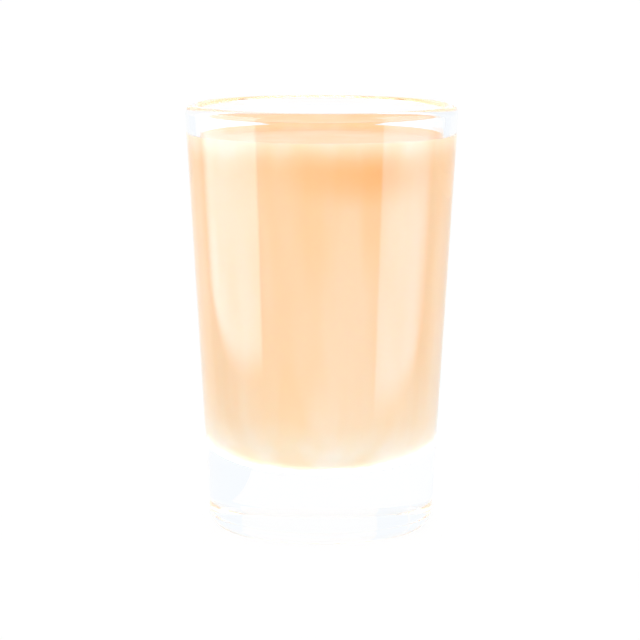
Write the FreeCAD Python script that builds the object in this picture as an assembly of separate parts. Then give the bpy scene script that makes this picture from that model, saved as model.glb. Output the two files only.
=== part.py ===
import FreeCAD, Part
import math
import os

# A shot glass with a heavy solid base, filled with butterscotch cream.
# Millimetres, +Z up, origin at the middle of the foot on the table.
# Both pieces are turned about the Z axis from a half profile of (radius, height) points.

# Glass: outside
glass_height = 70.0          # table to the top of the lip
rim_diameter = 44.8          # outside, where the wall line reaches the top
foot_diameter = 36.4         # outside, where the wall line reaches the table
foot_corner_radius = 3.2     # moulded rounding all round the foot

# Glass: underside, a flat recess that leaves a ring to stand on
recess_depth = 1.8
recess_radius = 12.5         # at the recess's ceiling
recess_draft = 0.5           # how much wider the recess is at the table, so that the mould lets go

# Glass: inside
rim_wall = 2.1               # wall at the mouth
floor_wall = 2.2             # wall at the height of the cavity's lowest point
base_thickness = 10.4        # table to the cavity's lowest point
floor_corner_radius = 12.0   # where the wall turns into the cavity's floor
floor_dish_radius = 45.0     # the floor is a shallow dish of this radius
lip_outer_share = 0.7        # share of the wall that the lip's outer rounding takes

# Cream: a solid fill that wets the wall
headspace = 4.7              # top of the lip down to the line where the cream meets the wall
meniscus_height = 1.0        # how far the cream climbs the wall
meniscus_reach = 1.8         # how far in from the wall the climb starts


def vector(point):
    """A profile point (radius, height) as a point of the XZ plane."""
    radius, height = point
    return FreeCAD.Vector(radius, 0, height)


def line(start, end):
    """A straight profile edge."""
    return Part.LineSegment(vector(start), vector(end)).toShape()


def arc(centre, radius, start_angle, end_angle):
    """A circular profile edge, from one angle to another in degrees, with its two end points."""
    def on_circle(angle):
        turn = math.radians(angle)
        return (centre[0] + radius * math.cos(turn), centre[1] + radius * math.sin(turn))
    start = on_circle(start_angle)
    middle = on_circle((start_angle + end_angle) / 2)
    end = on_circle(end_angle)
    return Part.Arc(vector(start), vector(middle), vector(end)).toShape(), start, end


def revolve(edges):
    """The solid that a closed half profile sweeps in one full turn about Z."""
    profile = Part.Face(Part.Wire(edges))
    solid = profile.revolve(FreeCAD.Vector(0, 0, 0), FreeCAD.Vector(0, 0, 1), 360)
    if solid.Volume < 0:
        solid.reverse()
    return solid


def outer_radius(height):
    """Outside of the glass: one straight taper from the foot to the rim."""
    return (foot_diameter + (rim_diameter - foot_diameter) * height / glass_height) / 2


def inner_radius(height):
    """Inside of the glass: its own straight taper, so that the wall thickens downwards."""
    top = outer_radius(glass_height) - rim_wall
    bottom = outer_radius(base_thickness) - floor_wall
    return bottom + (top - bottom) * (height - base_thickness) / (glass_height - base_thickness)


def lean(radius_at):
    """Angle of a wall line from the vertical, in degrees."""
    return math.degrees(math.atan(radius_at(1) - radius_at(0)))


def inset(radius_at, height, distance):
    """Radius of the point at a height that lies a distance inwards, square to a wall line."""
    return radius_at(height) - distance / math.cos(math.radians(lean(radius_at)))


def cavity_corner():
    """Centre of the rounding between the wall and the dished floor, touching both."""
    slope = inner_radius(1) - inner_radius(0)
    foot = inset(inner_radius, 0, floor_corner_radius)
    dish_centre = base_thickness + floor_dish_radius
    reach = floor_dish_radius - floor_corner_radius
    # (foot + slope h)^2 + (h - dish_centre)^2 = reach^2, lower root
    a = 1 + slope ** 2
    b = foot * slope - dish_centre
    c = foot ** 2 + dish_centre ** 2 - reach ** 2
    height = (-b - math.sqrt(b ** 2 - a * c)) / a
    return (foot + slope * height, height)


def cavity_floor():
    """Edges from the axis out to the foot of the inner wall, and the point reached there."""
    corner = cavity_corner()
    dish_centre = (0, base_thickness + floor_dish_radius)
    turn = math.degrees(math.atan2(corner[1] - dish_centre[1], corner[0]))
    dish, lowest, dish_end = arc(dish_centre, floor_dish_radius, -90, turn)
    rounding, rounding_start, wall_foot = arc(corner, floor_corner_radius, turn, -lean(inner_radius))
    return [dish, rounding], wall_foot


def lip():
    """Edges over the lip, two roundings that meet at its highest point, with both end points."""
    outer_lean = math.radians(lean(outer_radius))
    inner_lean = math.radians(lean(inner_radius))
    # wall at the mouth = outer (1 / cos + tan) + inner (1 / cos - tan)
    outer_part = lip_outer_share * rim_wall
    inner_part = rim_wall - outer_part
    outer_rounding = outer_part / (1 / math.cos(outer_lean) + math.tan(outer_lean))
    inner_rounding = inner_part / (1 / math.cos(inner_lean) - math.tan(inner_lean))
    outer_height = glass_height - outer_rounding
    inner_height = glass_height - inner_rounding
    middle = inset(outer_radius, outer_height, outer_rounding)
    outer, outer_start, top = arc((middle, outer_height), outer_rounding, -lean(outer_radius), 90)
    inner, top, inner_end = arc((middle, inner_height), inner_rounding, 90, 180 - lean(inner_radius))
    return [outer, inner], outer_start, inner_end


def foot():
    """Edges from the axis over the recess, the standing ring and the foot's rounding."""
    corner = (inset(outer_radius, foot_corner_radius, foot_corner_radius), foot_corner_radius)
    ceiling_middle = (0, recess_depth)
    ceiling_edge = (recess_radius, recess_depth)
    ring_inner = (recess_radius + recess_draft, 0)
    rounding, ring_outer, wall_start = arc(corner, foot_corner_radius, -90, -lean(outer_radius))
    ceiling = line(ceiling_middle, ceiling_edge)
    side = line(ceiling_edge, ring_inner)
    ring = line(ring_inner, ring_outer)
    return [ceiling, side, ring, rounding], ceiling_middle, wall_start


def make_glass():
    """One pressed and fire-polished piece: solid base, tapered wall, rounded lip."""
    under, axis_low, wall_start = foot()
    over, lip_outer, lip_inner = lip()
    floor, wall_foot = cavity_floor()
    axis_high = (0, base_thickness)
    outside = under + [line(wall_start, lip_outer)] + over
    inside = [line(lip_inner, wall_foot)] + floor[::-1]
    return revolve(outside + inside + [line(axis_high, axis_low)])


def make_cream():
    """The fill: it takes the cavity's shape and its top curves up to the wall."""
    floor, wall_foot = cavity_floor()
    contact_height = glass_height - headspace
    contact = (inner_radius(contact_height), contact_height)
    level = contact_height - meniscus_height
    climb_radius = (meniscus_height ** 2 + meniscus_reach ** 2) / (2 * meniscus_height)
    climb_centre = (contact[0] - meniscus_reach, level + climb_radius)
    climb_angle = math.degrees(math.asin(meniscus_reach / climb_radius))
    climb, climb_top, climb_foot = arc(climb_centre, climb_radius, climb_angle - 90, -90)
    surface = line(climb_foot, (0, level))
    axis = line((0, level), (0, base_thickness))
    return revolve(floor + [line(wall_foot, contact), climb, surface, axis])


def main():
    os.makedirs("parts", exist_ok=True)
    pieces = {"glass": make_glass(), "cream": make_cream()}
    for node, solid in pieces.items():
        solid.exportStep("parts/" + node + ".step")
        print(node, "valid", solid.isValid(), "volume %.1f mm3" % solid.Volume)


main()
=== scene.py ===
import bpy
import math
from mathutils import Euler, Matrix, Vector


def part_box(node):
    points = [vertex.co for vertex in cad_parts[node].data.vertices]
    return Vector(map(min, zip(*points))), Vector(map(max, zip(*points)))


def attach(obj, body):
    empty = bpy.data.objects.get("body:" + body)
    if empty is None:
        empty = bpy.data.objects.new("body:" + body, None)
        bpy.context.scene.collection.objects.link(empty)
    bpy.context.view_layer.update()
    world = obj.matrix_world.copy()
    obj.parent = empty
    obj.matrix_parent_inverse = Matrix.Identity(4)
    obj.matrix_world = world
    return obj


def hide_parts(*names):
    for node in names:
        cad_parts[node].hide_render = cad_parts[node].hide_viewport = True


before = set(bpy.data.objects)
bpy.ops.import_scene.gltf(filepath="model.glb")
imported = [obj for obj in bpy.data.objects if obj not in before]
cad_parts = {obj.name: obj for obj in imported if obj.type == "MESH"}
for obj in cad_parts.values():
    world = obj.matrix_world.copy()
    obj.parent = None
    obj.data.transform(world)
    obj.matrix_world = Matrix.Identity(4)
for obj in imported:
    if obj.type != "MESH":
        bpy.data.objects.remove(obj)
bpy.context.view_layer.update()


# ---------------------------------------------------------------- the shot glass
# One piece of clear soda-lime glass, pressed in a mould and fire-polished at the lip. The base is
# solid and heavy, with a shallow recess beneath that leaves a ring to stand on, and the wall
# tapers outwards and thins towards the mouth.
MM = 0.001

# sizes in millimetres
glass_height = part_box("glass")[1].z / MM
RIM_RADIUS = 22.4            # outside, where the wall line reaches the top
FOOT_RADIUS = 18.2           # outside, where the wall line reaches the table
RIM_WALL = 2.1
FLOOR_WALL = 2.2             # at the height of the cavity's lowest point
BASE_THICKNESS = 10.4        # table to the cavity's lowest point
FLOOR_CORNER = 12.0
FLOOR_DISH = 45.0
LIP_OUTER_SHARE = 0.7        # share of the wall that the lip's outer rounding takes
FOOT_ROUNDING = 3.2
RECESS_DEPTH = 1.8
RECESS_RADIUS = 12.5         # at the recess's ceiling
RECESS_DRAFT = 0.5

# how fine the mesh is
TURN_STEPS = 256
ARC_STEP = math.radians(5)
FEWEST_ARC_STEPS = 6
WALL_STEPS = 24
DISC_STEPS = 8
RING_STEPS = 4
MERGE_DISTANCE = 0.0001

# clear glass
GLASS_COLOUR = (0.99, 0.995, 1.0, 1)
GLASS_IOR = 1.5
CLEAR_TINT = (0.97, 0.965, 0.96, 1)
WAVE_STRETCH = (1.0, 1.0, 0.35)
WAVE_SCALE = 90.0
WAVE_DETAIL = 1.0
WAVE_STRENGTH = 0.25
WAVE_DEPTH = 0.06            # millimetres
MOST_TURNS = 2.5             # between the second and the third turn of light inside the glass


def outer_radius(height):
    """Outside of the wall at a height."""
    return FOOT_RADIUS + (RIM_RADIUS - FOOT_RADIUS) * height / glass_height


def inner_radius(height, sunk=0.0):
    """Inside of the wall at a height, or of an outline sunk a little way into the wall."""
    top = RIM_RADIUS - RIM_WALL
    bottom = outer_radius(BASE_THICKNESS) - FLOOR_WALL
    slope = (top - bottom) / (glass_height - BASE_THICKNESS)
    return bottom + slope * (height - BASE_THICKNESS) + sunk * math.sqrt(1 + slope ** 2)


def lean(radius_at):
    """Angle of a wall line from the vertical."""
    return math.atan(radius_at(1) - radius_at(0))


def on_circle(centre, radius, angle):
    """The point of a circle at an angle."""
    return (centre[0] + radius * math.cos(angle), centre[1] + radius * math.sin(angle))


class Outline:
    """A half profile in the XZ plane, drawn point by point and then turned about the Z axis."""

    def __init__(self, name, start):
        bpy.ops.object.select_all(action="DESELECT")
        bpy.ops.mesh.primitive_plane_add(size=MM, location=(start[0] * MM, 0, start[1] * MM))
        bpy.ops.object.transform_apply(location=True, rotation=True, scale=True)
        self.piece = bpy.context.object
        self.piece.name = name
        self.pen = start
        bpy.ops.object.mode_set(mode="EDIT")
        bpy.ops.mesh.merge(type="CENTER")

    def line(self, end, steps):
        """A straight run, with its points closer together towards both ends."""
        start = self.pen
        for step in range(1, steps + 1):
            share = (1 - math.cos(math.pi * step / steps)) / 2
            point = tuple(a + (b - a) * share for a, b in zip(start, end))
            move = ((point[0] - self.pen[0]) * MM, 0, (point[1] - self.pen[1]) * MM)
            bpy.ops.mesh.extrude_region_move(TRANSFORM_OT_translate={"value": move})
            self.pen = point

    def arc(self, centre, end_angle):
        """A round run about a centre, up to an angle."""
        start_angle = math.atan2(self.pen[1] - centre[1], self.pen[0] - centre[0])
        radius = math.dist(self.pen, centre)
        turn = end_angle - start_angle
        steps = max(FEWEST_ARC_STEPS, math.ceil(abs(turn) / ARC_STEP))
        middle = (centre[0] * MM, 0, centre[1] * MM)
        bpy.ops.mesh.spin(steps=steps, angle=turn, center=middle, axis=(0, 1, 0))
        self.pen = on_circle(centre, radius, end_angle)

    def turn(self):
        """The finished piece: one full turn, with its seam and poles closed."""
        bpy.ops.mesh.select_all(action="SELECT")
        bpy.ops.mesh.spin(steps=TURN_STEPS, angle=math.tau, center=(0, 0, 0), axis=(0, 0, 1))
        bpy.ops.mesh.select_all(action="SELECT")
        bpy.ops.mesh.remove_doubles(threshold=MERGE_DISTANCE * MM)
        bpy.ops.mesh.normals_make_consistent(inside=False)
        bpy.ops.object.mode_set(mode="OBJECT")
        bpy.ops.object.shade_smooth()
        return self.piece


def cavity_corner():
    """Centre of the rounding that touches both the inner wall and the dished floor."""
    slope = inner_radius(1) - inner_radius(0)
    foot = inner_radius(0) - FLOOR_CORNER * math.sqrt(1 + slope ** 2)
    dish_centre = BASE_THICKNESS + FLOOR_DISH
    reach = FLOOR_DISH - FLOOR_CORNER
    # (foot + slope h)^2 + (h - dish_centre)^2 = reach^2, lower root
    a = 1 + slope ** 2
    b = foot * slope - dish_centre
    c = foot ** 2 + dish_centre ** 2 - reach ** 2
    height = (-b - math.sqrt(b ** 2 - a * c)) / a
    return (foot + slope * height, height)


def model_glass():
    """The glass's outline, drawn from the middle of the recess out, up, over and down inside."""
    outer_lean = lean(outer_radius)
    inner_lean = lean(inner_radius)
    # underside: flat recess, standing ring, rounded foot
    foot_middle = outer_radius(FOOT_ROUNDING) - FOOT_ROUNDING / math.cos(outer_lean)
    outline = Outline("shot_glass", (0, RECESS_DEPTH))
    outline.line((RECESS_RADIUS, RECESS_DEPTH), DISC_STEPS)
    outline.line((RECESS_RADIUS + RECESS_DRAFT, 0), RING_STEPS)
    outline.line((foot_middle, 0), RING_STEPS)
    outline.arc((foot_middle, FOOT_ROUNDING), -outer_lean)
    # outer wall, then the lip's two roundings, which meet at its highest point
    outer_part = LIP_OUTER_SHARE * RIM_WALL
    inner_part = RIM_WALL - outer_part
    outer_rounding = outer_part / (1 / math.cos(outer_lean) + math.tan(outer_lean))
    inner_rounding = inner_part / (1 / math.cos(inner_lean) - math.tan(inner_lean))
    lip_height = glass_height - outer_rounding
    lip_middle = outer_radius(lip_height) - outer_rounding / math.cos(outer_lean)
    outline.line(on_circle((lip_middle, lip_height), outer_rounding, -outer_lean), WALL_STEPS)
    outline.arc((lip_middle, lip_height), math.pi / 2)
    outline.arc((lip_middle, glass_height - inner_rounding), math.pi - inner_lean)
    # inner wall down to the rounded corner and the dished floor
    floor_corner = cavity_corner()
    dish_centre = (0, BASE_THICKNESS + FLOOR_DISH)
    outline.line(on_circle(floor_corner, FLOOR_CORNER, -inner_lean), WALL_STEPS)
    outline.arc(floor_corner, math.atan2(floor_corner[1] - dish_centre[1], floor_corner[0]))
    outline.arc(dish_centre, -math.pi / 2)
    return outline.turn()


class Finish:
    """The nodes of a material or a world, added by kind and joined by socket names."""

    def __init__(self, owner):
        self.owner = owner
        owner.use_nodes = True
        self.tree = owner.node_tree
        self.tree.nodes.clear()

    def node(self, kind, sockets=None, **settings):
        """A new node, with each of the sockets given a value or joined to another's output."""
        made = self.tree.nodes.new("ShaderNode" + kind)
        for name, value in settings.items():
            setattr(made, name, value)
        for socket, value in (sockets or {}).items():
            if isinstance(value, bpy.types.NodeSocket):
                self.tree.links.new(value, made.inputs[socket])
            else:
                made.inputs[socket].default_value = value
        return made

    def number(self, operation, *values):
        """What an operation on numbers gives."""
        return self.node("Math", dict(enumerate(values)), operation=operation).outputs[0]

    def vector(self, operation, *values):
        """What an operation on places or colours gives."""
        made = self.node("VectorMath", dict(enumerate(values)), operation=operation)
        gives_number = operation in ("LENGTH", "DOT_PRODUCT")
        return made.outputs["Value" if gives_number else "Vector"]

    def fade(self, value, start, end):
        """0 at the start and 1 at the end, with a soft run between them."""
        sockets = {"Value": value, "From Min": start, "From Max": end}
        return self.node("MapRange", sockets, interpolation_type="SMOOTHSTEP").outputs[0]

    def show(self, shader):
        """The material or world, once a shader is joined to its output."""
        world = isinstance(self.owner, bpy.types.World)
        self.node("OutputWorld" if world else "OutputMaterial", {"Surface": shader})
        return self.owner


def new_finish(name):
    """The nodes of a new material."""
    return Finish(bpy.data.materials.new(name))


def clear_glass():
    """Colourless glass that bends light, with the faint unevenness of pressing."""
    finish = new_finish("clear_glass")
    place = finish.node("TexCoord").outputs["Object"]
    # long faint waves that run up the wall
    stretched = finish.node("Mapping", {"Vector": place, "Scale": WAVE_STRETCH}).outputs[0]
    waves = finish.node("TexNoise", {
        "Vector": stretched, "Scale": WAVE_SCALE, "Detail": WAVE_DETAIL})
    bump = finish.node("Bump", {
        "Height": waves.outputs[0], "Strength": WAVE_STRENGTH, "Distance": WAVE_DEPTH * MM})
    glass = finish.node("BsdfPrincipled", {
        "Base Color": GLASS_COLOUR, "Roughness": 0.0, "IOR": GLASS_IOR,
        "Transmission Weight": 1.0, "Normal": bump.outputs[0]})
    # lamps reach the cream through the wall, and light that has turned many times inside the lip
    # or the foot leaves the glass there
    path = finish.node("LightPath").outputs
    trapped = finish.number("GREATER_THAN", path["Glossy Depth"], MOST_TURNS)
    straight = finish.number("MAXIMUM", path["Is Shadow Ray"], trapped)
    clear = finish.node("BsdfTransparent", {"Color": CLEAR_TINT})
    mix = finish.node("MixShader", {0: straight, 1: glass.outputs[0], 2: clear.outputs[0]})
    return finish.show(mix.outputs[0])


shot_glass = model_glass()
shot_glass.data.materials.append(clear_glass())
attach(shot_glass, "root")
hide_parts("glass")


# ---------------------------------------------------------------- the butterscotch cream
# The drink: thick opaque cream flavoured with butterscotch. It wets the wall, so its edge climbs a
# little all round, and it reaches just into the glass so that no air shows between them.
HEADSPACE = 4.7              # top of the lip down to the line where the cream meets the wall
MENISCUS_HEIGHT = 1.0
MENISCUS_REACH = 1.8
SUNK = 0.06                  # how far it reaches into the glass

# height (mm) and colour of the cream at the wall, upwards: its own colour through the middle, with
# painted light that makes it paler towards the bottom, painted shade that makes it deeper just
# below the surface, and a painted highlight where its edge climbs the wall
COLOUR_AND_SHADING_BY_HEIGHT = [
    (10.0, (1.0, 0.78, 0.56)),
    (12.5, (1.0, 0.83, 0.63)),
    (15.0, (1.0, 0.85, 0.66)),
    (19.5, (0.99, 0.76, 0.52)),
    (26.0, (0.98, 0.73, 0.48)),
    (40.0, (0.98, 0.715, 0.46)),
    (53.0, (0.98, 0.705, 0.435)),
    (58.0, (0.98, 0.68, 0.40)),
    (60.5, (0.98, 0.66, 0.37)),
    (62.4, (0.99, 0.70, 0.42)),
    (63.8, (1.0, 0.77, 0.53)),
    (64.8, (1.0, 0.80, 0.58)),
]
WAVER = 0.06                 # how far the layers stray, as a share of the glass's height

# upright streaks and slow swirls, from the pouring
STREAK_STRETCH = (1.0, 1.0, 0.16)
STREAK_SCALE = 140.0
STREAK_DETAIL = 2.0
STREAK_SPREAD = (0.38, 0.62)  # where the deepest and the palest tint are reached
STREAK_TINTS = ((1.0, 0.945, 0.865), (1.0, 1.03, 1.10))
SWIRLS_SCALE = 45.0
SWIRLS_DETAIL = 3.0
SWIRLS_DISTORTION = 0.6
BOTH_MEAN = 1.0              # what the two patterns add up to on average

# one patch of painted shade, a deeper orange just below the surface at the front, in millimetres
SHADE_PATCH_PLACE = (7.0, -20.0, 60.0)
SHADE_PATCH_HEART = 2.0
SHADE_PATCH_EDGE = 16.0
SHADE_PATCH_TINT = (1.0, 0.84, 0.64)
NO_TINT = (1.0, 1.0, 1.0)
SHADE_PATCH_FLATNESS = 2.6
VECTOR_TO_MIN = 9            # Map Range has these sockets twice, and this is the vector's pair
VECTOR_TO_MAX = 10

# how light meets the cream: against the glass its index is less than the glass's own
WALL_IOR = 0.93
WALL_ROUGH = 0.12
WALL_SHINE = 0.5
# the open top's colour is painted shade: darker than the cream at the wall, to hold back the light
# that falls on it from above
SHADED_SURFACE_COLOUR = (0.92, 0.55, 0.31)
SURFACE_IOR = 1.36
SURFACE_ROUGH = 0.35
SURFACE_SHINE = 0.15
SURFACE_MARGIN = 0.1         # how far below the level a face still counts as open surface (mm)
SURFACE_FACING = 0.3         # the least upward part of its normal
SOFT_WEIGHT = 0.3            # light that soaks in and comes out again, and how far (mm)
SOFT_COLOURS = (1.0, 0.6, 0.35)
SOFT_REACH = 2.0


def model_cream():
    """The cream's outline, drawn from the middle of the floor up the wall and over the surface."""
    contact_height = glass_height - HEADSPACE
    level = contact_height - MENISCUS_HEIGHT
    contact = (inner_radius(contact_height), contact_height)
    floor_corner = cavity_corner()
    dish_centre = (0, BASE_THICKNESS + FLOOR_DISH)
    outline = Outline("cream", (0, BASE_THICKNESS - SUNK))
    outline.arc(dish_centre, math.atan2(floor_corner[1] - dish_centre[1], floor_corner[0]))
    outline.arc(floor_corner, -lean(inner_radius))
    outline.line((inner_radius(contact_height, SUNK), contact_height), WALL_STEPS)
    outline.line(contact, 1)
    climb_radius = (MENISCUS_HEIGHT ** 2 + MENISCUS_REACH ** 2) / (2 * MENISCUS_HEIGHT)
    outline.arc((contact[0] - MENISCUS_REACH, level + climb_radius), -math.pi / 2)
    outline.line((0, level), DISC_STEPS)
    return outline.turn()


def butterscotch_cream(name, ior, roughness, shine, height_colours):
    """Opaque cream with colours by height, given as (millimetres, colour) from the lowest up."""
    finish = new_finish(name)
    place = finish.node("TexCoord").outputs["Object"]
    height = finish.node("SeparateXYZ", {"Vector": place}).outputs["Z"]
    drawn = finish.node("Mapping", {"Vector": place, "Scale": STREAK_STRETCH}).outputs[0]
    streaks = finish.node("TexNoise", {
        "Vector": drawn, "Scale": STREAK_SCALE, "Detail": STREAK_DETAIL}).outputs[0]
    swirls = finish.node("TexNoise", {
        "Vector": place, "Scale": SWIRLS_SCALE, "Detail": SWIRLS_DETAIL,
        "Distortion": SWIRLS_DISTORTION}).outputs[0]
    # the bands of painted light and shade by height, which waver a little up and down
    centred = finish.number("SUBTRACT", finish.number("ADD", streaks, swirls), BOTH_MEAN)
    stray = finish.number("MULTIPLY", centred, WAVER)
    level = finish.number("MULTIPLY_ADD", height, 1 / (glass_height * MM), stray)
    by_height = finish.node("ValToRGB", {"Fac": level})
    stops = by_height.color_ramp.elements
    for _ in height_colours[2:]:
        stops.new(1.0)
    for stop, (at, colour) in zip(stops, height_colours):
        stop.position = at / glass_height
        stop.color = (*colour, 1)
    # each streak is a little paler or deeper than its neighbours
    tint = finish.node("ValToRGB", {"Fac": streaks})
    for stop, at, colour in zip(tint.color_ramp.elements, STREAK_SPREAD, STREAK_TINTS):
        stop.position = at
        stop.color = (*colour, 1)
    streaked = finish.vector("MULTIPLY", by_height.outputs[0], tint.outputs[0])
    # painted shade: a patch of deeper orange hangs just below the surface, on the front side
    from_shade_patch = finish.vector("SUBTRACT", place, [v * MM for v in SHADE_PATCH_PLACE])
    flattened = finish.vector("MULTIPLY", from_shade_patch, (1.0, 1.0, SHADE_PATCH_FLATNESS))
    away = finish.vector("LENGTH", flattened)
    shade_depth = finish.fade(away, SHADE_PATCH_EDGE * MM, SHADE_PATCH_HEART * MM)
    shade_patch_tint = finish.node("MapRange", {
        "Vector": shade_depth, VECTOR_TO_MIN: NO_TINT, VECTOR_TO_MAX: SHADE_PATCH_TINT},
        data_type="FLOAT_VECTOR").outputs["Vector"]
    cream = finish.node("BsdfPrincipled", {
        "Base Color": finish.vector("MULTIPLY", streaked, shade_patch_tint),
        "Roughness": roughness, "IOR": ior, "Specular IOR Level": shine,
        "Subsurface Weight": SOFT_WEIGHT, "Subsurface Radius": SOFT_COLOURS,
        "Subsurface Scale": SOFT_REACH * MM})
    return finish.show(cream.outputs[0])


def is_open_surface(face):
    """Whether a face belongs to the cream's open top."""
    lowest = glass_height - HEADSPACE - MENISCUS_HEIGHT - SURFACE_MARGIN
    return face.center.z > lowest * MM and face.normal.z > SURFACE_FACING


surface_layers = [(0.0, SHADED_SURFACE_COLOUR), (glass_height, SHADED_SURFACE_COLOUR)]
cream = model_cream()
cream.data.materials.append(
    butterscotch_cream("cream_against_glass", WALL_IOR, WALL_ROUGH, WALL_SHINE, COLOUR_AND_SHADING_BY_HEIGHT))
cream.data.materials.append(
    butterscotch_cream("cream_surface", SURFACE_IOR, SURFACE_ROUGH, SURFACE_SHINE, surface_layers))
for face in cream.data.polygons:
    face.material_index = 1 if is_open_surface(face) else 0
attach(cream, "root")
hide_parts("cream")


# ---------------------------------------------------------------- the table and the white surround
# A plain white table top that runs back into a white studio. It shows white to the eye and in the
# glass, and keeps only a faint soft shadow of the glass.
TABLE_SIZE = 6.0             # metres
TABLE_PAINT = (0.9, 0.9, 0.9, 1)
WHITE = (1, 1, 1, 1)
GLOW_SEEN = 0.96             # share of the table that glows, where it is seen
GLOW_FELT = 0.6              # and where its light falls on things
AMBIENT = 1.35               # level of the surround's light on things
BEFORE_SCATTER = 0.5         # between no scattering and the first one


def seen_directly(finish):
    """1 for the eye and for what shows in or through glass, 0 for light that falls on things."""
    path = finish.node("LightPath").outputs
    either = finish.number("MAXIMUM", path["Is Camera Ray"], path["Is Glossy Ray"])
    any_of = finish.number("MAXIMUM", either, path["Is Transmission Ray"])
    unscattered = finish.number("LESS_THAN", path["Diffuse Depth"], BEFORE_SCATTER)
    return finish.number("MULTIPLY", any_of, unscattered)


def white_table():
    """White paint that mostly glows, so that the table is as bright as the studio."""
    finish = new_finish("white_table")
    seen = seen_directly(finish)
    share = finish.node("MapRange", {"Value": seen, "To Min": GLOW_FELT, "To Max": GLOW_SEEN})
    strength = finish.node("MapRange", {"Value": seen, "To Min": AMBIENT, "To Max": 1.0})
    paint = finish.node("BsdfDiffuse", {"Color": TABLE_PAINT})
    glow = finish.node("Emission", {"Color": WHITE, "Strength": strength.outputs[0]})
    mix = finish.node("MixShader", {0: share.outputs[0], 1: paint.outputs[0], 2: glow.outputs[0]})
    return finish.show(mix.outputs[0])


bpy.ops.object.select_all(action="DESELECT")
bpy.ops.mesh.primitive_plane_add(size=TABLE_SIZE, location=(0, 0, 0))
table_top = bpy.context.object
table_top.name = "table_top"
table_top.data.materials.append(white_table())

world = bpy.data.worlds.new("white_studio")
bpy.context.scene.world = world
surround = Finish(world)
felt_light = surround.node("Background", {"Color": WHITE, "Strength": AMBIENT})
seen_light = surround.node("Background", {"Color": WHITE, "Strength": 1.0})
studio = surround.node("MixShader", {
    0: seen_directly(surround), 1: felt_light.outputs[0], 2: seen_light.outputs[0]})
surround.show(studio.outputs[0])


# ---------------------------------------------------------------- the two light banks
# Soft light banks that stand on the table, one each side of the glass. Each runs from near the
# front to further away behind, and shows as a broad upright reflection in the wall.
BANK_HEIGHT = 160.0
BANK_FOOT_FADE = 9.0         # height over which the foot fades in
BANK_NEAR_FADE = 0.03        # shares of the length over which the ends fade in
LEFT_FAR_FADE = 0.45
RIGHT_FAR_FADE = 0.6
LEFT_NEAR = (-91, -74)
LEFT_FAR = (-200, 120)
LEFT_RADIANCE = 4.2
LEFT_COLOUR = (0.80, 0.80, 1.0)
RIGHT_NEAR = (64, -62)
RIGHT_FAR = (170, 50)
RIGHT_RADIANCE = 3.4
RIGHT_COLOUR = (0.65, 0.65, 1.0)


def upright_sheet(name, start, end, height):
    """A flat sheet that stands on the table between two points, all in metres."""
    run = end - start
    middle = (start + end) / 2 + Vector((0, 0, height / 2))
    upright = (math.pi / 2, 0, math.atan2(run.y, run.x))
    bpy.ops.object.select_all(action="DESELECT")
    bpy.ops.mesh.primitive_plane_add(size=1, location=middle, rotation=upright)
    sheet = bpy.context.object
    sheet.name = name
    sheet.scale = (run.length, height, 1)
    bpy.ops.object.transform_apply(location=True, rotation=True, scale=True)
    return sheet


def light_bank(name, near, far, far_fade, radiance, colour):
    """A bank between two points on the table (millimetres), brightest away from its edges."""
    start = Vector((*near, 0)) * MM
    end = Vector((*far, 0)) * MM
    width = (end - start).length
    bank = upright_sheet(name, start, end, BANK_HEIGHT * MM)
    finish = new_finish(name)
    place = finish.node("TexCoord").outputs["Object"]
    height = finish.node("SeparateXYZ", {"Vector": place}).outputs["Z"]
    from_start = finish.vector("SUBTRACT", place, start)
    run = finish.vector("DOT_PRODUCT", from_start, (end - start).normalized())
    near_end = finish.fade(run, 0, BANK_NEAR_FADE * width)
    far_end = finish.fade(run, width, width * (1 - far_fade))
    foot = finish.fade(height, 0, BANK_FOOT_FADE * MM)
    inside = finish.number("MULTIPLY", finish.number("MULTIPLY", near_end, far_end), foot)
    strength = finish.number("MULTIPLY", inside, radiance)
    lamp = finish.node("Emission", {"Color": (*colour, 1), "Strength": strength})
    # past its soft edges the bank is as white as the studio behind it
    backing = finish.node("Emission", {"Color": WHITE, "Strength": 1.0})
    light = finish.node("AddShader", {0: lamp.outputs[0], 1: backing.outputs[0]})
    bank.data.materials.append(finish.show(light.outputs[0]))
    bank.visible_camera = False
    bank.visible_diffuse = False
    bank.visible_shadow = False
    bank.visible_transmission = False


light_bank("left_bank", LEFT_NEAR, LEFT_FAR, LEFT_FAR_FADE, LEFT_RADIANCE, LEFT_COLOUR)
light_bank("right_bank", RIGHT_NEAR, RIGHT_FAR, RIGHT_FAR_FADE, RIGHT_RADIANCE, RIGHT_COLOUR)


# ---------------------------------------------------------------- the grey cards
# Pale blue-grey cards that stand further back at both sides, and a pale grey sheet of painted
# shade that lies just over the table at the right, for a patch of soft shade on the table. They
# show as faint areas through the solid base of the glass.
CARD_COLOUR = (0.94, 0.97, 1.0, 1)
CARD_DISTANCE = 500.0
CARD_HEIGHT = 400.0
# bearings of the upright edges, in degrees clockwise from straight behind the glass
CARDS = {"right_card": (32, 96), "left_card_back": (-20, -38.4), "left_card_side": (-40, -96)}
SHADE_SHEET_BEARINGS = (19, 96)
SHADE_SHEET_START = 24.5           # how near to the glass's axis the lying card begins
SHADE_SHEET_LIFT = 0.3             # its height over the table


def at_bearing(bearing, distance):
    """The point of the table, in metres, at a bearing in degrees and a distance in millimetres."""
    turn = math.radians(bearing)
    return Vector((math.sin(turn), math.cos(turn), 0)) * distance * MM


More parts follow.
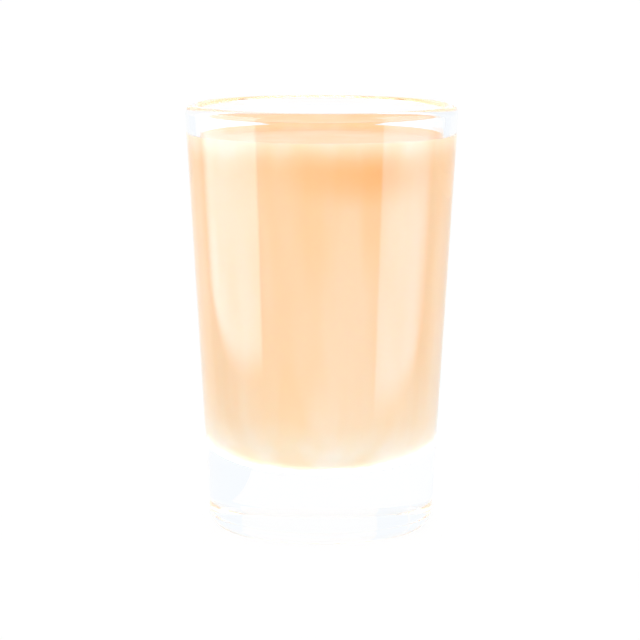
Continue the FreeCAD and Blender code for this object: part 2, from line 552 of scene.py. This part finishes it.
def lying_sheet(name, bearings, near, far, lift):
    """A flat wedge just over the table: its first side is drawn and then swung to the other."""
    start = at_bearing(bearings[0], near) + Vector((0, 0, lift * MM))
    side = at_bearing(bearings[0], far - near)
    swing = math.radians(bearings[1] - bearings[0])
    bpy.ops.object.select_all(action="DESELECT")
    bpy.ops.mesh.primitive_plane_add(size=MM, location=start)
    bpy.ops.object.transform_apply(location=True, rotation=True, scale=True)
    sheet = bpy.context.object
    sheet.name = name
    bpy.ops.object.mode_set(mode="EDIT")
    bpy.ops.mesh.merge(type="CENTER")
    bpy.ops.mesh.extrude_region_move(TRANSFORM_OT_translate={"value": side})
    bpy.ops.mesh.select_all(action="SELECT")
    bpy.ops.mesh.spin(steps=1, angle=swing, center=(0, 0, 0), axis=(0, 0, 1))
    bpy.ops.object.mode_set(mode="OBJECT")
    return sheet


def grey_card(card):
    """Gives a sheet its pale grey finish, out of the eye's sight."""
    finish = new_finish(card.name)
    shade = finish.node("Emission", {"Color": CARD_COLOUR, "Strength": 1.0})
    card.data.materials.append(finish.show(shade.outputs[0]))
    card.visible_camera = False
    card.visible_diffuse = False
    card.visible_shadow = False


for name, (first, last) in CARDS.items():
    start = at_bearing(first, CARD_DISTANCE)
    end = at_bearing(last, CARD_DISTANCE)
    grey_card(upright_sheet(name, start, end, CARD_HEIGHT * MM))
# the lying sheet is painted shade on the table, seen through the base of the glass
grey_card(lying_sheet("right_shade_sheet", SHADE_SHEET_BEARINGS, SHADE_SHEET_START, CARD_DISTANCE, SHADE_SHEET_LIFT))


# ---------------------------------------------------------------- the front light
# A large soft lamp low in front, behind the camera. It lights the cream through the wall, and is
# itself not seen in the glass. Its sizes are in metres and its energy in watts.
FRONT_SIZE = 0.5
FRONT_DISTANCE = 0.8
FRONT_HEIGHT = 0.12
FRONT_ENERGY = 1.0

front_lamp = bpy.data.lights.new("front_light", "AREA")
front_lamp.shape = "SQUARE"
front_lamp.size = FRONT_SIZE
front_lamp.energy = FRONT_ENERGY
front_light = bpy.data.objects.new("front_light", front_lamp)
bpy.context.scene.collection.objects.link(front_light)
front_place = Matrix.Translation((0, -FRONT_DISTANCE, FRONT_HEIGHT))
front_light.matrix_world = front_place @ Matrix.Rotation(math.pi / 2, 4, "X")
front_light.visible_camera = False
front_light.visible_glossy = False
front_light.visible_transmission = False


# ---------------------------------------------------------------- the camera
# A long lens a little above the rim, looking slightly down on the glass. Lengths are in
# millimetres.
LENS = 186.4
SENSOR_WIDTH = 36.0
DISTANCE = 541.0
EYE_HEIGHT = 108.8
PITCH = math.radians(7.83)
YAW = math.radians(0.022)
ROLL = math.radians(0.14)
NEAREST_SEEN = 10.0
FARTHEST_SEEN = 50000.0

camera_data = bpy.data.cameras.new("camera")
camera_data.lens = LENS
camera_data.sensor_width = SENSOR_WIDTH
camera_data.clip_start = NEAREST_SEEN * MM
camera_data.clip_end = FARTHEST_SEEN * MM
camera = bpy.data.objects.new("camera", camera_data)
bpy.context.scene.collection.objects.link(camera)
aim = Euler((math.pi / 2 - PITCH, 0, YAW)).to_matrix().to_4x4() @ Matrix.Rotation(ROLL, 4, "Z")
camera.matrix_world = Matrix.Translation((0, -DISTANCE * MM, EYE_HEIGHT * MM)) @ aim
bpy.context.scene.camera = camera
bpy.context.scene.view_settings.view_transform = "Standard"
